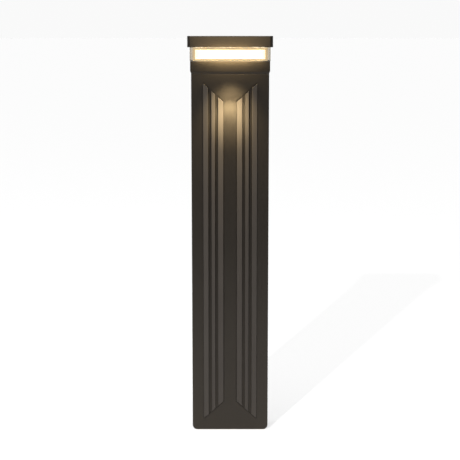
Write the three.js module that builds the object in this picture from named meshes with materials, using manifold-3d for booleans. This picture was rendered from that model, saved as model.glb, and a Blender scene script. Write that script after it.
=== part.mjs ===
// Bollard light: a shallow upright post with a lit head, built as an assembly.
// Millimetres. +Z up, the ribbed face looks along -Y, +X to the right of someone facing it.
// The origin is on the ground, under the middle of the cap.
import * as THREE from "three";
import { mergeVertices } from "three/addons/utils/BufferGeometryUtils.js";
import Module from "manifold-3d";

const wasm = await Module();
wasm.setup();

// ---------------------------------------------------------------- driving dimensions
const GAP = 0.3; // clearance between pieces that touch

const HEIGHT = 800; // ground to the top of the cap
const BODY_WIDTH = 154;
const BODY_DEPTH = 60;
const BODY_TOP = 726; // where the shell and the rear cover end
const CORNER_RADIUS = 10; // lower corners, seen from the front
const SHELL_WALL = 3;
const COVER_THICKNESS = 2.5;
const LIP_WIDTH = 15; // return lips that the rear cover is screwed to
const LIP_THICKNESS = 2.7;

const COLLAR_WIDTH = 157.4;
const COLLAR_TOP = 751.5;
const COLLAR_CHAMFER_TOP = 731.3;
const COLLAR_CHAMFER_FOOT = 727.6;
const DECK_THICKNESS = 6;
const SPIGOT_DEPTH = 26;

const LENS_WIDTH = 158.8;
const LENS_WALL = 5.6;
const CAP_BOTTOM = 778.1;
const CAP_OVERHANG = 7.2; // past the body on every side
const CAP_CORNER = 6.5;
const CAP_EDGE = 0.8;

const WINDOW_LOW = 755.2; // opening of the lamp frame
const WINDOW_HIGH = 773.1;
const WINDOW_HALF = 69.3;
const FRAME_BAR = 3.9;
const DIFFUSER_WALL = 2.5;

// Ribs, measured out from the centre line: near and far edge, and how proud each edge stands.
const RIBS = {
  inner: { near: 13.5, far: 24.2, high: 4, low: 3.5 },
  middle: { near: 30.2, far: 37.2, high: 5, low: 3.5 },
  outer: { near: 43.6, far: 53.6, high: 6, low: 2.5 },
};
const RIB_BEVEL = 1.1;
const RECESS = { near: 12.3, far: 53.9, depth: 1.5, end: 2.4 }; // shallow bed that the ribs lie in
const MITRE_RISE = 0.9; // the rib ends lie on lines that rise this much for each mm outwards
const MITRE_TOP = 659; // and meet the centre line at these two heights
const MITRE_BOTTOM = 73;
const STUD_RADIUS = 2;
const STUD_HEIGHTS = [110, 360, 610];

const PLATE_THICKNESS = 8;
const CABLE_HOLE_RADIUS = 15;
const ANCHOR = { x: 50, y: 13, width: 11, length: 18 };
const UPRIGHT = { top: 96, wall: 4 };

const SUNK = { head: 4.6, shank: 2.4, depth: 2.2 }; // countersunk screws in the side walls
const PAN = { head: 4.2, rise: 2.2, shank: 1.9, edge: 0.9 }; // pan-head screws of cover and tray
const SIDE_SCREW_LENGTH = 7.5;
const COVER_SCREW_LENGTH = 7;
const TRAY_SCREW_LENGTH = 9;
const HEAD_INSET = 0.1; // how far a sunk head lies under the surface
const SHELL_SCREWS = [["front", -14], ["rear", 11]]; // names and their Y
const SHELL_SCREW_Z = 62;
const COLLAR_SCREW_Z = BODY_TOP - 13;
const COVER_SCREW_X = BODY_WIDTH / 2 - 8;
const COVER_SCREW_Z = [["lower", 34], ["middle", 363], ["upper", 692]];

const TRAY = { half: 39, front: -14, back: 14, thickness: 2, top: 400, rim: 8, notch: 22 };
const TRAY_SCREW = { x: 32, y: 0, radius: 2.2 };
const EARTH = { x: 27, z: 60, radius: 3, head: 5, nut: 5, washer: 6 };
const GEAR_X = -6; // the gear stands in one line, a little left of the middle
const DRIVER = { half: 23, low: 200, high: 388, depth: 27, end: 14 };
const SURGE = { half: 18, low: 128, high: 172, depth: 22 };
const TERMINAL = { half: 22, low: 70, high: 100, depth: 20, ways: 3, tower: 5.5, step: 6 };
const CLAMP = { low: 38, high: 50, reach: 20, foot: 4, radius: 9, bore: 6 };
const LEAD_DIAMETER = 5;
const LEAD_X = 53; // where the lamp lead rises through the deck

const GROOVE = { out: 77.2, width: 2.6, depth: 2.2 }; // seat of each lens gasket
const GROMMET = { seat: 5, flange: 6.6, bore: 3.2, lip: 2 };
const ROD = { x: 61, y: 14.5, radius: 2.5, low: 8, grip: 10 };
const NUT = { flats: 8, height: 4 };
const SINK = { x0: -54, x1: 46, half: 8.5, web: 2.5, slot: 2, fins: 9 };
const BOARD = { thickness: 1.6, chip: 1.2, chips: 10, half: 2, inset: 4 };
const CONNECTOR = { length: 12, half: 6, low: 760, high: 770 };
const CAP_ROOF = 5; // thickness over the hollow
const CAP_RIM = 9; // lens band less the cap's hollow, on each side
const BOSS_RADIUS = 5.5;
const WELD = 0.01; // overlap that makes two stacked solids one
const OVER = 1; // how far a cutting tool runs past the surface that it opens

const HALF_W = BODY_WIDTH / 2;
const FRONT = -BODY_DEPTH / 2;
const BACK = BODY_DEPTH / 2;
const SHELL_BACK = BACK - COVER_THICKNESS - GAP;
const INNER_HALF = HALF_W - SHELL_WALL;
const INNER_FRONT = FRONT + SHELL_WALL;
const INNER_BACK = SHELL_BACK - LIP_THICKNESS;
const LENS_HALF = LENS_WIDTH / 2;
const LENS_HALF_Y = LENS_HALF - HALF_W + BACK;
const SHIFT_Y = LENS_HALF_Y - LENS_HALF; // from a half width to the matching half depth
const SIDES = [["left", -1], ["right", 1]];
const FACING_BACK = [-Math.PI / 2, 0, 0]; // turns a piece's own +Z to +Y

// ---------------------------------------------------------------- solids and booleans
function solid(geometry) {
  const bare = geometry.index ? geometry.toNonIndexed() : geometry.clone();
  bare.deleteAttribute("normal");
  bare.deleteAttribute("uv");
  const merged = mergeVertices(bare, 1e-4);
  return new wasm.Manifold(new wasm.Mesh({
    numProp: 3,
    vertProperties: new Float32Array(merged.attributes.position.array),
    triVerts: new Uint32Array(merged.index.array),
  }));
}

function geometryOf(body) {
  const mesh = body.getMesh();
  const geometry = new THREE.BufferGeometry();
  geometry.setAttribute("position", new THREE.BufferAttribute(new Float32Array(mesh.vertProperties), 3));
  geometry.setIndex(new THREE.BufferAttribute(new Uint32Array(mesh.triVerts), 1));
  return geometry;
}

const join = (...bodies) => bodies.reduce((all, next) => all.add(next));
const cut = (body, ...tools) => tools.reduce((rest, tool) => rest.subtract(tool), body);

// A box between two opposite corners.
function box(x0, y0, z0, x1, y1, z1) {
  const geometry = new THREE.BoxGeometry(x1 - x0, y1 - y0, z1 - z0);
  geometry.translate((x0 + x1) / 2, (y0 + y1) / 2, (z0 + z1) / 2);
  return solid(geometry);
}

// A box centred on the Z axis.
const block = (halfX, halfY, z0, z1) => box(-halfX, -halfY, z0, halfX, halfY, z1);

// A cylinder that starts at a point and runs along +Y or +Z.
function rod(radius, length, [x, y, z], along = "z", sides = 16) {
  const geometry = new THREE.CylinderGeometry(radius, radius, length, sides);
  geometry.translate(0, length / 2, 0);
  if (along === "z") geometry.rotateX(Math.PI / 2);
  geometry.translate(x, y, z);
  return solid(geometry);
}

// A turned piece: [radius, height] points, from the axis back to the axis, standing on +Z.
function turned(profile, sides = 14) {
  const points = profile.map(([radius, height]) => new THREE.Vector2(radius, height));
  const geometry = new THREE.LatheGeometry(points, sides);
  geometry.rotateX(Math.PI / 2);
  return geometry;
}

// A flat outline in X and Y, raised from z0 to z1.
function prism(shape, z0, z1, options = {}) {
  const settings = { depth: z1 - z0, bevelEnabled: false, ...options };
  const geometry = new THREE.ExtrudeGeometry(shape, settings);
  geometry.translate(0, 0, z0);
  return geometry;
}

// The same outline read as X and Z, and carried from y0 (front) to y1 (back).
function elevation(shape, y0, y1) {
  const geometry = new THREE.ExtrudeGeometry(shape, { depth: y1 - y0, bevelEnabled: false });
  geometry.rotateX(Math.PI / 2);
  geometry.translate(0, y1, 0);
  return solid(geometry);
}

function roundedRectangle(halfX, halfY, radius) {
  const shape = new THREE.Shape();
  shape.moveTo(halfX, -halfY + radius);
  shape.absarc(halfX - radius, halfY - radius, radius, 0, Math.PI / 2);
  shape.absarc(-halfX + radius, halfY - radius, radius, Math.PI / 2, Math.PI);
  shape.absarc(-halfX + radius, -halfY + radius, radius, Math.PI, 1.5 * Math.PI);
  shape.absarc(halfX - radius, -halfY + radius, radius, 1.5 * Math.PI, 2 * Math.PI);
  return shape;
}

// The post as seen from the front: square at the top, rounded at the two lower corners.
function postOutline(half, radius, top) {
  const shape = new THREE.Shape();
  shape.moveTo(half, top);
  shape.lineTo(-half, top);
  shape.absarc(-half + radius, radius, radius, Math.PI, 1.5 * Math.PI);
  shape.absarc(half - radius, radius, radius, 1.5 * Math.PI, 2 * Math.PI);
  return shape;
}

// A rectangular wall standing round an opening: outer half sizes less inner half sizes.
const wallRing = (outX, outY, inX, inY, z0, z1) =>
  cut(block(outX, outY, z0, z1), block(inX, inY, z0 - OVER, z1 + OVER));

// ---------------------------------------------------------------- materials and assembly
const FINISHES = {
  bronze: { color: 0x2b2822, roughness: 0.55, metalness: 0.5 },
  ribs: { color: 0x6b645a, roughness: 0.45, metalness: 0.6 },
  steel: { color: 0x9a9ca0, roughness: 0.35, metalness: 0.9 },
  aluminium: { color: 0xb9babc, roughness: 0.4, metalness: 0.8 },
  lens: { color: 0xf2ece0, roughness: 0.05, metalness: 0, transparent: true, opacity: 0.35 },
  opal: { color: 0xfff6e2, roughness: 0.5, metalness: 0, emissive: 0xffe2b0 },
  frame: { color: 0xd8c49a, roughness: 0.35, metalness: 0.3 },
  rubber: { color: 0x1c1c1c, roughness: 0.9, metalness: 0 },
  plastic: { color: 0x2f3133, roughness: 0.5, metalness: 0 },
  terminal: { color: 0xd9d6cc, roughness: 0.5, metalness: 0 },
  board: { color: 0xe9e9e4, roughness: 0.5, metalness: 0 },
  brass: { color: 0xb08d4a, roughness: 0.35, metalness: 0.9 },
  lead: { color: 0x26282b, roughness: 0.6, metalness: 0 },
};

const bollard = new THREE.Group();
const base = new THREE.Group();
const post = new THREE.Group();
const gear = new THREE.Group();
const head = new THREE.Group();
bollard.add(base, post, gear, head);

function place(group, name, body, finish, position = [0, 0, 0], turn = [0, 0, 0]) {
  const geometry = body instanceof THREE.BufferGeometry ? body : geometryOf(body);
  const mesh = new THREE.Mesh(geometry, new THREE.MeshStandardMaterial(FINISHES[finish]));
  mesh.name = name;
  mesh.position.set(...position);
  mesh.rotation.set(...turn);
  group.add(mesh);
}

// ---------------------------------------------------------------- fasteners
// Countersunk machine screw, its flat head at z = 0 and its shank below.
const sunkScrew = (length) => turned([
  [0, -length], [SUNK.shank, -length], [SUNK.shank, -SUNK.depth], [SUNK.head, 0], [0, 0],
]);

// The hole for it, wider by the clearance, with a short straight run above the cone.
const sunkHole = (length) => turned([
  [0, -length], [SUNK.shank + GAP, -length], [SUNK.shank + GAP, -SUNK.depth - GAP],
  [SUNK.head + GAP, -GAP], [SUNK.head + GAP, OVER], [0, OVER],
]);

// Pan-head screw, seated at z = 0 with its head above.
const panScrew = (length) => turned([
  [0, -length], [PAN.shank, -length], [PAN.shank, 0], [PAN.head, 0],
  [PAN.head, PAN.rise - PAN.edge], [PAN.head - PAN.edge, PAN.rise], [0, PAN.rise],
]);

const hexNut = () => cut(
  rod(NUT.flats / Math.sqrt(3), NUT.height, [0, 0, 0], "z", 6),
  rod(ROD.radius + GAP, NUT.height + 2 * OVER, [0, 0, -OVER], "z", 14),
);

// A turned piece laid down so that its +Z end points out of the left or right side wall.
function onSide(geometry, side, y, z) {
  const copy = geometry.clone();
  copy.rotateY(side * Math.PI / 2);
  copy.translate(side * HALF_W, y, z);
  return solid(copy);
}

// ---------------------------------------------------------------- base
const SEAT_BACK = INNER_BACK - GAP;
const SEAT_FRONT = INNER_FRONT + GAP;

function anchorSlot(x, y) {
  const radius = ANCHOR.width / 2;
  const reach = ANCHOR.length / 2 - radius;
  const top = PLATE_THICKNESS + OVER;
  return join(
    rod(radius, top + OVER, [x - reach, y, -OVER]),
    rod(radius, top + OVER, [x + reach, y, -OVER]),
    box(x - reach, y - radius, -OVER, x + reach, y + radius, top),
  );
}

function baseFrame() {
  const half = INNER_HALF - GAP;
  const uprightInset = 3;
  const middleY = (SEAT_FRONT + SEAT_BACK) / 2;
  const through = PLATE_THICKNESS + 2 * OVER;
  let body = box(-half, SEAT_FRONT, 0, half, SEAT_BACK, PLATE_THICKNESS);
  for (const [, side] of SIDES) {
    const [x0, x1] = [side * (half - UPRIGHT.wall), side * half].sort((a, b) => a - b);
    const [y0, y1] = [SEAT_FRONT + uprightInset, SEAT_BACK - uprightInset];
    body = join(body, box(x0, y0, PLATE_THICKNESS - OVER, x1, y1, UPRIGHT.top));
    for (const [, y] of SHELL_SCREWS) {
      body = cut(body, onSide(sunkHole(SIDE_SCREW_LENGTH + 2), side, y, SHELL_SCREW_Z));
    }
    for (const row of [-1, 1]) {
      body = cut(body, anchorSlot(side * ANCHOR.x, row * ANCHOR.y + middleY));
    }
    body = cut(body, rod(TRAY_SCREW.radius, through, [side * TRAY_SCREW.x, TRAY_SCREW.y, -OVER]));
  }
  body = cut(body, rod(CABLE_HOLE_RADIUS, through, [0, 0, -OVER], "z", 24));
  const outline = postOutline(half, CORNER_RADIUS - SHELL_WALL - GAP, UPRIGHT.top);
  return body.intersect(elevation(outline, FRONT, BACK));
}

// ---------------------------------------------------------------- post
const outside = () =>
  elevation(postOutline(HALF_W, CORNER_RADIUS, BODY_TOP), FRONT - OVER, BACK + OVER);

const mitreTop = (x) => MITRE_TOP + MITRE_RISE * x;
const mitreBottom = (x) => MITRE_BOTTOM - MITRE_RISE * x;

// Four-sided outline between two distances from the centre line, cut off on the mitre lines.
function mitredOutline(near, far, side, past = 0) {
  return new THREE.Shape([
    [near, mitreBottom(near) - past], [far, mitreBottom(far) - past],
    [far, mitreTop(far) + past], [near, mitreTop(near) + past],
  ].map(([x, z]) => new THREE.Vector2(side * x, z)));
}

function bodyShell() {
  const lipInner = INNER_HALF - LIP_WIDTH + SHELL_WALL;
  const profile = new THREE.Shape([
    [-HALF_W, FRONT], [HALF_W, FRONT], [HALF_W, SHELL_BACK], [lipInner, SHELL_BACK],
    [lipInner, INNER_BACK], [INNER_HALF, INNER_BACK], [INNER_HALF, INNER_FRONT],
    [-INNER_HALF, INNER_FRONT], [-INNER_HALF, INNER_BACK], [-lipInner, INNER_BACK],
    [-lipInner, SHELL_BACK], [-HALF_W, SHELL_BACK],
  ].map(([x, y]) => new THREE.Vector2(x, y)));
  let body = solid(prism(profile, 0, BODY_TOP)).intersect(outside());
  const through = SHELL_WALL + 2 * OVER;
  for (const [, side] of SIDES) {
    const bed = mitredOutline(RECESS.near, RECESS.far, side, RECESS.end);
    body = cut(body, elevation(bed, FRONT - OVER, FRONT + RECESS.depth));
    for (const { near, far } of Object.values(RIBS)) {
      for (const z of STUD_HEIGHTS) {
        const at = [side * (near + far) / 2, FRONT - OVER, z];
        body = cut(body, rod(STUD_RADIUS + GAP, through, at, "y", 12));
      }
    }
    for (const [, y] of SHELL_SCREWS) {
      body = cut(body, onSide(sunkHole(through), side, y, SHELL_SCREW_Z));
    }
    body = cut(body, onSide(sunkHole(through), side, 0, COLLAR_SCREW_Z));
    for (const [, z] of COVER_SCREW_Z) {
      const at = [side * COVER_SCREW_X, INNER_BACK - OVER, z];
      body = cut(body, rod(PAN.shank + GAP, LIP_THICKNESS + 2 * OVER, at, "y", 12));
    }
  }
  return body;
}

function rearCover() {
  let body = box(-HALF_W, BACK - COVER_THICKNESS, 0, HALF_W, BACK, BODY_TOP).intersect(outside());
  for (const [, side] of SIDES) {
    for (const [, z] of COVER_SCREW_Z) {
      const at = [side * COVER_SCREW_X, BACK - COVER_THICKNESS - OVER, z];
      body = cut(body, rod(PAN.shank + GAP, COVER_THICKNESS + 2 * OVER, at, "y", 12));
    }
  }
  return body;
}

// One rib: a mitred bar with bevelled front edges, higher on its side towards the centre line,
// and three fixing studs on its back.
function rib({ near, far, high, low }, side) {
  const back = FRONT + RECESS.depth - GAP;
  const section = new THREE.Shape([
    [near, back], [near, FRONT - high + RIB_BEVEL], [near + RIB_BEVEL, FRONT - high],
    [far - RIB_BEVEL, FRONT - low], [far, FRONT - low + RIB_BEVEL], [far, back],
  ].map(([x, y]) => new THREE.Vector2(side * x, y)));
  const bar = solid(prism(section, mitreBottom(far) - OVER, mitreTop(far) + OVER));
  const ends = mitredOutline(near - OVER, far + OVER, side);
  const studBack = FRONT + SHELL_WALL + OVER;
  const studs = STUD_HEIGHTS.map((z) =>
    rod(STUD_RADIUS, studBack - back + OVER, [side * (near + far) / 2, back - OVER, z], "y", 12));
  return join(bar.intersect(elevation(ends, FRONT - high - OVER, BACK)), ...studs);
}

// ---------------------------------------------------------------- gear inside the post
const TRAY_FACE = TRAY.front + TRAY.thickness;
const SEAT = TRAY_FACE + GAP; // back of whatever is fixed to the tray
const WIRE_Y = SEAT + 10; // the leads run straight up this far behind the tray

function gearTray() {
  const foot = PLATE_THICKNESS + GAP;
  const notchTop = foot + 14;
  const plate = box(-TRAY.half, TRAY.front, foot, TRAY.half, TRAY_FACE, TRAY.top);
  const flangeFront = TRAY_FACE - TRAY.thickness / 2;
  const flange = box(-TRAY.half, flangeFront, foot, TRAY.half, TRAY.back, foot + TRAY.thickness);
  const rims = SIDES.map(([, side]) => {
    const [x0, x1] = [side * TRAY.half - TRAY.thickness / 2, side * TRAY.half + TRAY.thickness / 2];
    return box(x0, TRAY.front, foot, x1, TRAY_FACE + TRAY.rim, TRAY.top);
  });
  const notch = box(
    -TRAY.notch, TRAY.front - OVER, foot - OVER, TRAY.notch, TRAY.back + OVER, notchTop,
  );
  const through = TRAY.thickness + 2 * OVER;
  const holes = SIDES.map(([, side]) => {
    const at = [side * TRAY_SCREW.x, TRAY_SCREW.y, foot - OVER];
    return rod(TRAY_SCREW.radius + GAP, through, at, "z", 12);
  });
  const studHole = rod(EARTH.radius + GAP, through, [EARTH.x, TRAY.front - OVER, EARTH.z], "y", 12);
  return cut(join(plate, flange, ...rims), notch, ...holes, studHole);
}

// Earth stud through the tray: head in front, then washer, nut and thread behind.
function earthStud() {
  const { radius, head, nut, washer } = EARTH;
  const headBack = -TRAY.thickness - GAP;
  const washerTop = GAP + 1.3;
  const nutTop = washerTop + 4.9;
  return turned([
    [0, -6], [head, -6], [head, headBack], [radius, headBack], [radius, GAP],
    [washer, GAP], [washer, washerTop], [nut, washerTop], [nut, nutTop],
    [radius, nutTop], [radius, 14], [0, 14],
  ]);
}

// A case on the tray with rounded upright edges, centred on the gear line.
function gearCase(half, z0, z1, depth, radius) {
  const geometry = prism(roundedRectangle(half, depth / 2, radius), z0, z1, { curveSegments: 3 });
  geometry.translate(GEAR_X, SEAT + depth / 2, 0);
  return solid(geometry);
}

function driverBody() {
  const { half, low, high, depth, end } = DRIVER;
  const caps = [[low, low + end], [high - end, high]].map(([z0, z1]) =>
    gearCase(half, z0, z1, depth, 3));
  return join(gearCase(half - 1, low, high, depth - 1, 2), ...caps);
}

// Terminal block: a bar with a screw tower for each way, and a wire mouth under each tower.
function terminalBlock() {
  const { half, low, high, depth, ways, tower, step } = TERMINAL;
  const pitch = (2 * half) / ways;
  const shelf = SEAT + depth - step;
  const screw = { radius: 2.6, depth: 4 };
  const mouth = { radius: 2.2, depth: 4, y: SEAT + 7 };
  let body = box(GEAR_X - half, SEAT, low, GEAR_X + half, shelf, high);
  for (let way = 0; way < ways; way += 1) {
    const centre = GEAR_X - half + pitch * (way + 0.5);
    const screwAt = [centre, SEAT + depth - screw.depth, (low + high) / 2];
    const [x0, x1] = [centre - tower, centre + tower];
    body = join(body, box(x0, shelf - OVER, low + 5, x1, SEAT + depth, high - 5));
    body = cut(
      body,
      rod(screw.radius, screw.depth + OVER, screwAt, "y", 12),
      rod(mouth.radius, mouth.depth + OVER, [centre, mouth.y, low - OVER], "z", 12),
    );
  }
  return body;
}

// Saddle that grips the supply cable against the tray.
function cordClamp() {
  const { low, high, reach, foot, radius, bore } = CLAMP;
  const axisY = SEAT + foot;
  const tall = high - low + 2 * OVER;
  const arch = join(
    rod(radius, high - low, [GEAR_X, axisY, low], "z", 20),
    box(GEAR_X - reach, SEAT, low, GEAR_X + reach, axisY, high),
  );
  const cable = rod(bore, tall, [GEAR_X, axisY, low - OVER], "z", 20);
  const [z0, z1] = [low - OVER, high + OVER];
  const mouth = box(GEAR_X - bore, SEAT - radius, z0, GEAR_X + bore, axisY, z1);
  const behind = box(GEAR_X - reach, SEAT - radius, z0, GEAR_X + reach, SEAT, z1);
  return cut(arch, cable, mouth, behind);
}

// A round lead of one diameter along a smooth curve through its points.
function lead(points, steps) {
  const section = new THREE.Shape();
  section.absarc(0, 0, LEAD_DIAMETER / 2, 0, 2 * Math.PI);
  const stops = points.map((point) => new THREE.Vector3(...point));
  const extrudePath = new THREE.CatmullRomCurve3(stops, false, "centripetal");
  const settings = { extrudePath, steps, curveSegments: 4, bevelEnabled: false };
  return new THREE.ExtrudeGeometry(section, settings);
}

// ---------------------------------------------------------------- head
const COLLAR_HALF = COLLAR_WIDTH / 2;
const COLLAR_FLARE = COLLAR_HALF - HALF_W;
const DECK_LOW = COLLAR_TOP - DECK_THICKNESS;

// A frustum whose sides lean out equally in X and Y.
function flare(halfX, halfY, grow, z0, z1) {
  const geometry = new THREE.BoxGeometry(2 * halfX, 2 * halfY, z1 - z0);
  const corners = geometry.attributes.position;
  for (let i = 0; i < corners.count; i += 1) {
    if (corners.getZ(i) > 0) {
      corners.setX(i, corners.getX(i) + Math.sign(corners.getX(i)) * grow);
      corners.setY(i, corners.getY(i) + Math.sign(corners.getY(i)) * grow);
    }
  }
  geometry.translate(0, 0, (z0 + z1) / 2);
  return solid(geometry);
}

function gasketRing(extra, z0, z1) {
  const out = GROOVE.out + extra;
  const inner = GROOVE.out - GROOVE.width - extra;
  return wallRing(out, out + SHIFT_Y, inner, inner + SHIFT_Y, z0, z1);
}

// Collar: a flared skirt round a deck, with a spigot below that fits into the shell.
function collar() {
  const foot = BODY_TOP + GAP;
  const skirt = join(
    block(HALF_W, BACK, foot, COLLAR_CHAMFER_FOOT + WELD),
    flare(HALF_W, BACK, COLLAR_FLARE, COLLAR_CHAMFER_FOOT, COLLAR_CHAMFER_TOP),
    block(COLLAR_HALF, BACK + COLLAR_FLARE, COLLAR_CHAMFER_TOP - WELD, COLLAR_TOP),
  );
  const wall = 4;
  const out = INNER_HALF - GAP;
  const inner = out - wall;
  const low = BODY_TOP - SPIGOT_DEPTH;
  const spigot = box(-out, SEAT_FRONT, low, out, SEAT_BACK, foot + OVER);
  const hollow = box(-inner, SEAT_FRONT + wall, low - OVER, inner, SEAT_BACK - wall, DECK_LOW);
  const groove = gasketRing(0, COLLAR_TOP - GROOVE.depth, COLLAR_TOP + OVER);
  const through = DECK_THICKNESS + 2 * OVER;
  let body = cut(join(skirt, spigot), hollow, groove);
  for (const [, side] of SIDES) {
    body = cut(body, onSide(sunkHole(SIDE_SCREW_LENGTH + 2), side, 0, COLLAR_SCREW_Z));
    for (const row of [-1, 1]) {
      const at = [side * ROD.x, row * ROD.y, DECK_LOW - OVER];
      body = cut(body, rod(ROD.radius + GAP, through, at, "z", 12));
    }
  }
  return cut(body, rod(GROMMET.seat + GAP, through, [LEAD_X, 0, DECK_LOW - OVER]));
}

// Rubber grommet, waisted where it sits in the deck.
function grommet() {
  const { seat, flange, bore, lip } = GROMMET;
  const foot = -DECK_THICKNESS - lip;
  const rim = 0.2;
  return turned([
    [bore, foot], [flange, foot], [flange, -DECK_THICKNESS - GAP],
    [seat, -DECK_THICKNESS - GAP], [seat, rim], [bore, rim], [bore, foot],
  ], 16);
}

const LAMP_LOW = COLLAR_TOP + GAP;
const LAMP_HIGH = CAP_BOTTOM - GAP;

function lens() {
  const inner = LENS_HALF - LENS_WALL;
  return wallRing(LENS_HALF, LENS_HALF_Y, inner, inner + SHIFT_Y, LAMP_LOW, LAMP_HIGH);
}

// Lamp frame: two hoops joined by four corner posts, open on every side.
function lampFrame() {
  const out = WINDOW_HALF + FRAME_BAR;
  const windowY = WINDOW_HALF + SHIFT_Y;
  const ring = wallRing(out, out + SHIFT_Y, WINDOW_HALF, windowY, LAMP_LOW, LAMP_HIGH);
  return cut(
    ring,
    block(WINDOW_HALF, LENS_HALF_Y, WINDOW_LOW, WINDOW_HIGH),
    block(LENS_HALF, windowY, WINDOW_LOW, WINDOW_HIGH),
  );
}

function diffuser() {
  const out = WINDOW_HALF - GAP;
  const inner = out - DIFFUSER_WALL;
  return wallRing(out, out + SHIFT_Y, inner, inner + SHIFT_Y, LAMP_LOW, LAMP_HIGH);
}

// Heat sink: an upright extrusion with a row of slots from top to bottom.
function heatSink() {
  const { x0, x1, half, web, slot, fins } = SINK;
  const pitch = (x1 - x0) / fins;
  const slotHalfY = half - web;
  let body = box(x0, -half, LAMP_LOW, x1, half, LAMP_HIGH);
  for (let fin = 1; fin < fins; fin += 1) {
    const x = x0 + pitch * fin;
    const [z0, z1] = [LAMP_LOW - OVER, LAMP_HIGH + OVER];
    body = cut(body, box(x - slot, -slotHalfY, z0, x + slot, slotHalfY, z1));
  }
  return body;
}

// LED board lying on the front (-1) or rear (+1) face of the heat sink.
function ledBoard(side) {
  const { thickness, chip, chips, half, inset } = BOARD;
  const near = SINK.half + GAP;
  const face = near + thickness;
  const slab = (from, to) => (side < 0 ? [-to, -from] : [from, to]);
  const [y0, y1] = slab(near, face);
  const [chipY0, chipY1] = slab(face - thickness / 2, face + chip);
  const middle = (WINDOW_LOW + WINDOW_HIGH) / 2;
  const pitch = (SINK.x1 - SINK.x0 - 2 * inset) / (chips - 1);
  let body = box(SINK.x0 + 1, y0, WINDOW_LOW, SINK.x1 - 1, y1, WINDOW_HIGH);
  for (let i = 0; i < chips; i += 1) {
    const x = SINK.x0 + inset + pitch * i;
    body = join(body, box(x - half, chipY0, middle - half, x + half, chipY1, middle + half));
  }
  return body;
}

// Cap: a rounded slab, hollow below, with a groove for the gasket and a boss for each tie rod.
function cap() {
  const half = HALF_W + CAP_OVERHANG;
  const halfY = BACK + CAP_OVERHANG;
  const shape = roundedRectangle(half, halfY, CAP_CORNER);
  const rounded = solid(prism(shape, CAP_BOTTOM, HEIGHT - CAP_EDGE, {
    curveSegments: 6,
    bevelEnabled: true,
    bevelSegments: 1,
    bevelSize: CAP_EDGE,
    bevelOffset: -CAP_EDGE,
    bevelThickness: CAP_EDGE,
  }));
  const below = block(half + OVER, halfY + OVER, CAP_BOTTOM - CAP_EDGE - OVER, CAP_BOTTOM);
  const roof = HEIGHT - CAP_ROOF;
  const hollowX = LENS_HALF - CAP_RIM;
  const hollow = block(hollowX, hollowX + SHIFT_Y, CAP_BOTTOM - OVER, roof);
  const groove = gasketRing(0, CAP_BOTTOM - OVER, CAP_BOTTOM + GROOVE.depth);
  const bossLow = CAP_BOTTOM + 0.5;
  const boreTop = CAP_BOTTOM + ROD.grip + 2;
  let body = cut(rounded, below, hollow, groove);
  for (const [, side] of SIDES) {
    for (const row of [-1, 1]) {
      const [x, y] = [side * ROD.x, row * ROD.y];
      const boss = rod(BOSS_RADIUS, roof - bossLow + OVER, [x, y, bossLow]);
      const bore = rod(ROD.radius + GAP, boreTop - bossLow + OVER, [x, y, bossLow - OVER], "z", 12);
      body = cut(join(body, boss), bore);
    }
  }
  return body;
}

// ---------------------------------------------------------------- build: base
place(base, "base_frame", baseFrame(), "steel");

// ---------------------------------------------------------------- build: post
place(post, "body_shell", bodyShell(), "bronze");
place(post, "rear_cover", rearCover(), "bronze");
for (const [sideName, side] of SIDES) {
  for (const [ribName, sizes] of Object.entries(RIBS)) {
    place(post, `rib_${ribName}_${sideName}`, rib(sizes, side), "ribs");
  }
  const turn = [0, side * Math.PI / 2, 0];
  for (const [rowName, y] of SHELL_SCREWS) {
    const at = [side * (HALF_W - HEAD_INSET), y, SHELL_SCREW_Z];
    const name = `shell_screw_${rowName}_${sideName}`;
    place(post, name, sunkScrew(SIDE_SCREW_LENGTH), "steel", at, turn);
  }
  const collarAt = [side * (HALF_W - HEAD_INSET), 0, COLLAR_SCREW_Z];
  place(post, `collar_screw_${sideName}`, sunkScrew(SIDE_SCREW_LENGTH), "steel", collarAt, turn);
  for (const [rowName, z] of COVER_SCREW_Z) {
    const at = [side * COVER_SCREW_X, BACK + GAP, z];
    const name = `cover_screw_${rowName}_${sideName}`;
    place(post, name, panScrew(COVER_SCREW_LENGTH), "steel", at, FACING_BACK);
  }
}

// ---------------------------------------------------------------- build: gear
place(gear, "gear_tray", gearTray(), "aluminium");
for (const [sideName, side] of SIDES) {
  const at = [side * TRAY_SCREW.x, TRAY_SCREW.y, PLATE_THICKNESS + 2 * GAP + TRAY.thickness];
  place(gear, `tray_screw_${sideName}`, panScrew(TRAY_SCREW_LENGTH), "steel", at);
}
place(gear, "earth_stud", earthStud(), "brass", [EARTH.x, TRAY_FACE, EARTH.z], FACING_BACK);
place(gear, "cord_clamp", cordClamp(), "plastic");
place(gear, "terminal_block", terminalBlock(), "terminal");
const surge = gearCase(SURGE.half, SURGE.low, SURGE.high, SURGE.depth, 3);
place(gear, "surge_protector", surge, "plastic");
place(gear, "led_driver", driverBody(), "plastic");

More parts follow.
